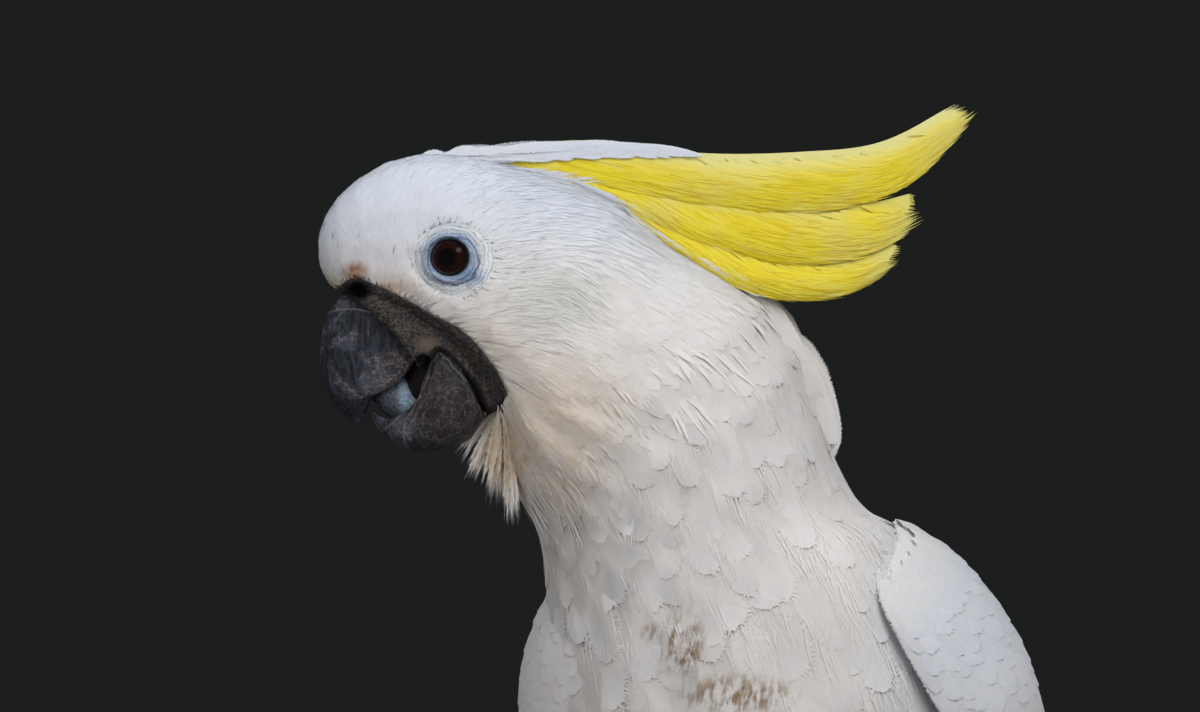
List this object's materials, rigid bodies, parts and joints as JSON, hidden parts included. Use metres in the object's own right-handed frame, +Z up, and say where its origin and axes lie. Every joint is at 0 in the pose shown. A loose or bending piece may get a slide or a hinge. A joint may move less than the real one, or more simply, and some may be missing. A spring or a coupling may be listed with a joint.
{
  "type": "white cockatoo",
  "caption": "Life-size white cockatoo standing still with its head turned to its right, its bill a little open and its yellow crest laid back.",
  "frame": {"origin": "on the floor under the middle of the bird's bounding box", "axes": "+Z up; the head faces -X in profile, and the trunk faces 80 degrees round from -X towards -Y"},
  "size_m": [0.2146, 0.308, 0.3471],
  "materials": {
    "white_feather": "soft matt white feathers, warmer on the cheeks and throat, with a few brown stains",
    "yellow_feather": "matt sulphur-yellow crest feathers with frayed, paler tips",
    "bill_horn": "slate-black horn with a soft sheen and pale scratches",
    "dark_skin": "bare charcoal skin with fine wrinkles",
    "blue_skin": "bare pale blue skin with fine ring-shaped folds",
    "eye": "wet, very dark red-brown eye",
    "tongue": "moist slate-blue tongue",
    "foot_scale": "dark grey scaly skin"
  },
  "bodies": {
    "root": {"head": "white_feather", "neck": "white_feather", "trunk": "white_feather", "tail": "white_feather", "upper_bill": "bill_horn", "lower_bill": "bill_horn", "bill_base": "dark_skin", "tongue": "tongue", "eye_left": "eye", "eye_ring_left": "blue_skin", "crest_front_left": "yellow_feather", "crest_middle_left": "yellow_feather", "crest_rear_left": "yellow_feather", "wing_left": "white_feather", "thigh_left": "white_feather", "foot_left": "foot_scale", "claw_first_left": "bill_horn", "claw_second_left": "bill_horn", "claw_third_left": "bill_horn", "claw_fourth_left": "bill_horn", "eye_right": "eye", "eye_ring_right": "blue_skin", "crest_front_right": "yellow_feather", "crest_middle_right": "yellow_feather", "crest_rear_right": "yellow_feather", "wing_right": "white_feather", "thigh_right": "white_feather", "foot_right": "foot_scale", "claw_first_right": "bill_horn", "claw_second_right": "bill_horn", "claw_third_right": "bill_horn", "claw_fourth_right": "bill_horn"}
  },
  "joints": []
}
